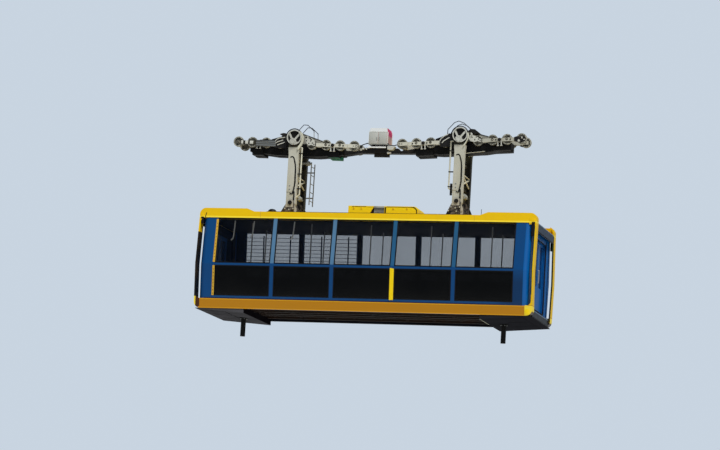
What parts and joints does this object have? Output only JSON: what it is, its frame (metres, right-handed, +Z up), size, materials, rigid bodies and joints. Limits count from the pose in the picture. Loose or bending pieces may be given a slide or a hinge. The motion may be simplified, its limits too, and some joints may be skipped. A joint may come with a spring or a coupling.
{
  "type": "cable car cabin",
  "caption": "Large aerial cable car: long glazed yellow and blue cabin under two hangers and two grooved-wheel rope carriages.",
  "frame": {"origin": "on the axis of the track ropes, midway between the two ropes and over the middle of the cabin", "axes": "+X along the cabin and the ropes, +Y across to the far side, +Z up"},
  "size_m": [11.05, 3.33, 7.1067],
  "materials": {
    "dark_steel": "satin",
    "grey_steel": "satin",
    "pale_steel": "satin",
    "cream_steel": "satin",
    "galvanised": "dull",
    "underside": "matt",
    "black_steel": "satin",
    "yellow_paint": "gloss",
    "dark_lining": "matt",
    "navy_paint": "gloss",
    "blue_paint": "gloss",
    "window_glass": "clear",
    "wheel_steel": "worn"
  },
  "bodies": {
    "rope_carriages": {"carriage_frame_left": "dark_steel", "rocker_beams_left": "grey_steel", "brake_housings_left": "dark_steel", "carriage_frame_right": "dark_steel", "rocker_beams_right": "grey_steel", "brake_housings_right": "dark_steel", "link_beam": "dark_steel", "control_box": "pale_steel"},
    "hanger_left": {"hanger_legs_left": "cream_steel", "hub_rings_left": "cream_steel", "hanger_ladder": "galvanised"},
    "hanger_right": {"hanger_legs_right": "cream_steel", "hub_rings_right": "cream_steel"},
    "cabin": {"floor_deck": "underside", "floor_girders": "underside", "end_underfloors": "underside", "docking_posts": "black_steel", "roof_deck": "yellow_paint", "ceiling_ribs": "dark_lining", "end_fascias": "navy_paint", "end_sills": "navy_paint", "door_rails": "dark_steel", "side_frame_near": "yellow_paint", "side_frame_far": "yellow_paint", "side_wall_near": "blue_paint", "side_wall_far": "blue_paint", "side_panes_near": "window_glass", "side_panes_far": "window_glass", "end_wall_left": "blue_paint", "end_wall_right": "blue_paint", "grab_poles": "galvanised", "roof_locker": "yellow_paint", "roof_unit": "grey_steel", "roof_beacon": "black_steel", "hanger_foot_left": "black_steel", "hanger_foot_right": "black_steel"},
    "door_left_near": {"door_leaf_left_near": "blue_paint", "door_pane_left_near": "window_glass"},
    "door_left_far": {"door_leaf_left_far": "blue_paint", "door_pane_left_far": "window_glass"},
    "door_right_near": {"door_leaf_right_near": "blue_paint", "door_pane_right_near": "window_glass"},
    "door_right_far": {"door_leaf_right_far": "blue_paint", "door_pane_right_far": "window_glass"},
    "wheelset_left_1": {"wheelset_left_1": "wheel_steel"},
    "wheelset_left_2": {"wheelset_left_2": "wheel_steel"},
    "wheelset_left_3": {"wheelset_left_3": "wheel_steel"},
    "wheelset_left_4": {"wheelset_left_4": "wheel_steel"},
    "wheelset_left_5": {"wheelset_left_5": "wheel_steel"},
    "wheelset_left_6": {"wheelset_left_6": "wheel_steel"},
    "wheelset_left_7": {"wheelset_left_7": "wheel_steel"},
    "wheelset_left_8": {"wheelset_left_8": "wheel_steel"},
    "wheelset_right_1": {"wheelset_right_1": "wheel_steel"},
    "wheelset_right_2": {"wheelset_right_2": "wheel_steel"},
    "wheelset_right_3": {"wheelset_right_3": "wheel_steel"},
    "wheelset_right_4": {"wheelset_right_4": "wheel_steel"},
    "wheelset_right_5": {"wheelset_right_5": "wheel_steel"},
    "wheelset_right_6": {"wheelset_right_6": "wheel_steel"},
    "wheelset_right_7": {"wheelset_right_7": "wheel_steel"},
    "wheelset_right_8": {"wheelset_right_8": "wheel_steel"}
  },
  "joints": [
    {"name": "hanger_left_swing", "type": "hinge", "parent": "rope_carriages", "child": "hanger_left", "pos_m": [-2.8, 0, 0.1025], "axis": [0, 1, 0], "range_deg": [-12, 12]},
    {"name": "hanger_right_swing", "type": "hinge", "parent": "rope_carriages", "child": "hanger_right", "pos_m": [2.7, 0, 0.2375], "axis": [0, 1, 0], "range_deg": [-12, 12]},
    {"name": "cabin_level", "type": "hinge", "parent": "hanger_left", "child": "cabin", "pos_m": [-2.8, 0, -1.8775], "axis": [0, 1, 0], "range_deg": [-12, 12]},
    {"name": "door_left_near_slide", "type": "slide", "parent": "cabin", "child": "door_left_near", "axis": [0, -1, 0], "range_m": [0, 0.65]},
    {"name": "door_left_far_slide", "type": "slide", "parent": "cabin", "child": "door_left_far", "axis": [0, 1, 0], "range_m": [0, 0.65]},
    {"name": "door_right_near_slide", "type": "slide", "parent": "cabin", "child": "door_right_near", "axis": [0, -1, 0], "range_m": [0, 0.65]},
    {"name": "door_right_far_slide", "type": "slide", "parent": "cabin", "child": "door_right_far", "axis": [0, 1, 0], "range_m": [0, 0.65]},
    {"name": "wheelset_left_1_turn", "type": "hinge", "parent": "rope_carriages", "child": "wheelset_left_1", "pos_m": [-3.33979, 0, 0.11758], "axis": [0, 1, 0], "continuous": true},
    {"name": "wheelset_left_2_turn", "type": "hinge", "parent": "rope_carriages", "child": "wheelset_left_2", "pos_m": [-3.81161, 0, 0.13076], "axis": [0, 1, 0], "continuous": true},
    {"name": "wheelset_left_3_turn", "type": "hinge", "parent": "rope_carriages", "child": "wheelset_left_3", "pos_m": [-4.28342, 0, 0.14394], "axis": [0, 1, 0], "continuous": true},
    {"name": "wheelset_left_4_turn", "type": "hinge", "parent": "rope_carriages", "child": "wheelset_left_4", "pos_m": [-4.75524, 0, 0.15711], "axis": [0, 1, 0], "continuous": true},
    {"name": "wheelset_left_5_turn", "type": "hinge", "parent": "rope_carriages", "child": "wheelset_left_5", "pos_m": [-2.26021, 0, 0.08742], "axis": [0, 1, 0], "continuous": true},
    {"name": "wheelset_left_6_turn", "type": "hinge", "parent": "rope_carriages", "child": "wheelset_left_6", "pos_m": [-1.78839, 0, 0.07424], "axis": [0, 1, 0], "continuous": true},
    {"name": "wheelset_left_7_turn", "type": "hinge", "parent": "rope_carriages", "child": "wheelset_left_7", "pos_m": [-1.31658, 0, 0.06106], "axis": [0, 1, 0], "continuous": true},
    {"name": "wheelset_left_8_turn", "type": "hinge", "parent": "rope_carriages", "child": "wheelset_left_8", "pos_m": [-0.84476, 0, 0.04789], "axis": [0, 1, 0], "continuous": true},
    {"name": "wheelset_right_1_turn", "type": "hinge", "parent": "rope_carriages", "child": "wheelset_right_1", "pos_m": [2.16079, 0, 0.2083], "axis": [0, 1, 0], "continuous": true},
    {"name": "wheelset_right_2_turn", "type": "hinge", "parent": "rope_carriages", "child": "wheelset_right_2", "pos_m": [1.68948, 0, 0.18277], "axis": [0, 1, 0], "continuous": true},
    {"name": "wheelset_right_3_turn", "type": "hinge", "parent": "rope_carriages", "child": "wheelset_right_3", "pos_m": [1.21817, 0, 0.15725], "axis": [0, 1, 0], "continuous": true},
    {"name": "wheelset_right_4_turn", "type": "hinge", "parent": "rope_carriages", "child": "wheelset_right_4", "pos_m": [0.74686, 0, 0.13172], "axis": [0, 1, 0], "continuous": true},
    {"name": "wheelset_right_5_turn", "type": "hinge", "parent": "rope_carriages", "child": "wheelset_right_5", "pos_m": [3.23921, 0, 0.2667], "axis": [0, 1, 0], "continuous": true},
    {"name": "wheelset_right_6_turn", "type": "hinge", "parent": "rope_carriages", "child": "wheelset_right_6", "pos_m": [3.71052, 0, 0.29223], "axis": [0, 1, 0], "continuous": true},
    {"name": "wheelset_right_7_turn", "type": "hinge", "parent": "rope_carriages", "child": "wheelset_right_7", "pos_m": [4.18183, 0, 0.31775], "axis": [0, 1, 0], "continuous": true},
    {"name": "wheelset_right_8_turn", "type": "hinge", "parent": "rope_carriages", "child": "wheelset_right_8", "pos_m": [4.65314, 0, 0.34328], "axis": [0, 1, 0], "continuous": true}
  ],
  "couplings": [
    {"joint": "hanger_right_swing", "follows": "hanger_left_swing", "ratio": 1},
    {"joint": "cabin_level", "follows": "hanger_left_swing", "ratio": -1},
    {"joint": "door_left_far_slide", "follows": "door_left_near_slide", "ratio": 1},
    {"joint": "door_right_far_slide", "follows": "door_right_near_slide", "ratio": 1}
  ]
}
